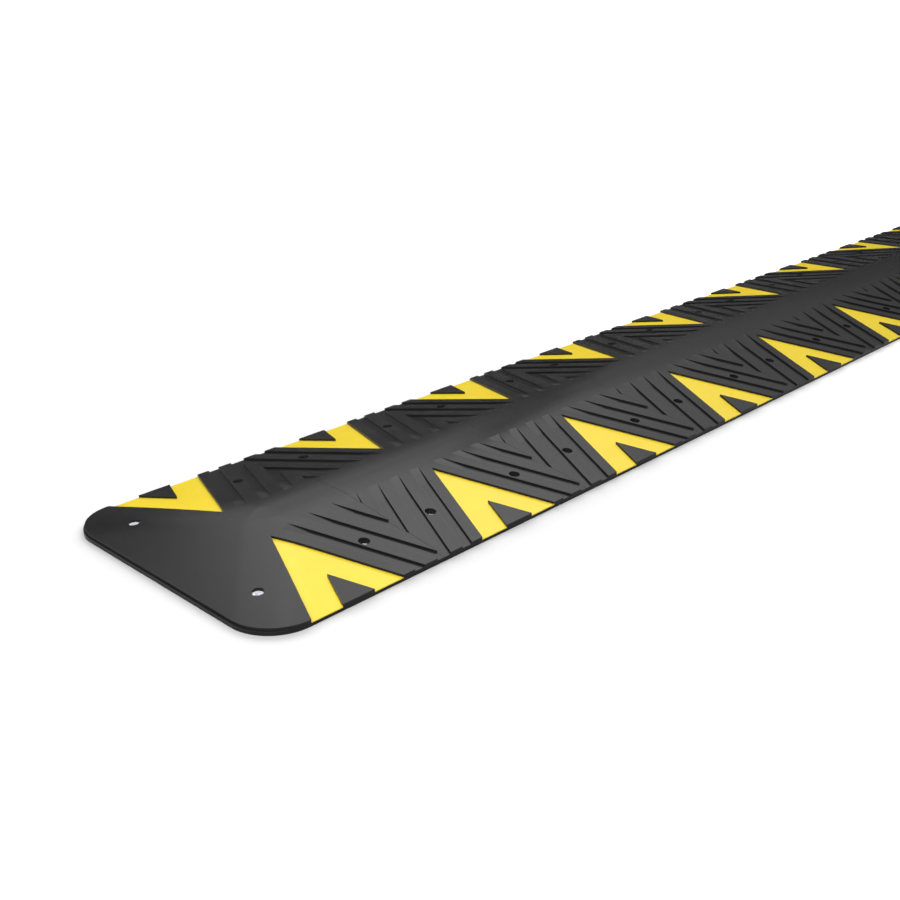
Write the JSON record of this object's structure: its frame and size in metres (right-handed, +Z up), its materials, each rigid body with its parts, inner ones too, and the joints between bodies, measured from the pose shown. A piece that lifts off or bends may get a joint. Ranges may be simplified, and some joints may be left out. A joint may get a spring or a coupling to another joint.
{
  "type": "speed bump",
  "caption": "Low arched road hump of butted black rubber sections with rounded end caps, recessed yellow chevrons on both slopes, V-rib tread and steel-sleeved bolt holes.",
  "frame": {"origin": "middle of the hump's footprint, on the road surface", "axes": "+X along the hump, across the lane; +Y across the hump, along the traffic; +Z up"},
  "size_m": [3.645, 0.6096, 0.0508],
  "materials": {
    "rubber": "matte moulded",
    "marking": "satin yellow",
    "steel": "zinc plated"
  },
  "bodies": {
    "root": {"end_cap_left": "rubber", "chevron_left_near": "marking", "chevron_left_far": "marking", "bolt_sleeves_left": "steel", "section_1": "rubber", "chevron_1_near": "marking", "chevron_1_far": "marking", "bolt_sleeves_1": "steel", "section_2": "rubber", "chevron_2_near": "marking", "chevron_2_far": "marking", "bolt_sleeves_2": "steel", "section_3": "rubber", "chevron_3_near": "marking", "chevron_3_far": "marking", "bolt_sleeves_3": "steel", "section_4": "rubber", "chevron_4_near": "marking", "chevron_4_far": "marking", "bolt_sleeves_4": "steel", "section_5": "rubber", "chevron_5_near": "marking", "chevron_5_far": "marking", "bolt_sleeves_5": "steel", "section_6": "rubber", "chevron_6_near": "marking", "chevron_6_far": "marking", "bolt_sleeves_6": "steel", "section_7": "rubber", "chevron_7_near": "marking", "chevron_7_far": "marking", "bolt_sleeves_7": "steel", "end_cap_right": "rubber", "chevron_right_near": "marking", "chevron_right_far": "marking", "bolt_sleeves_right": "steel"}
  },
  "joints": []
}
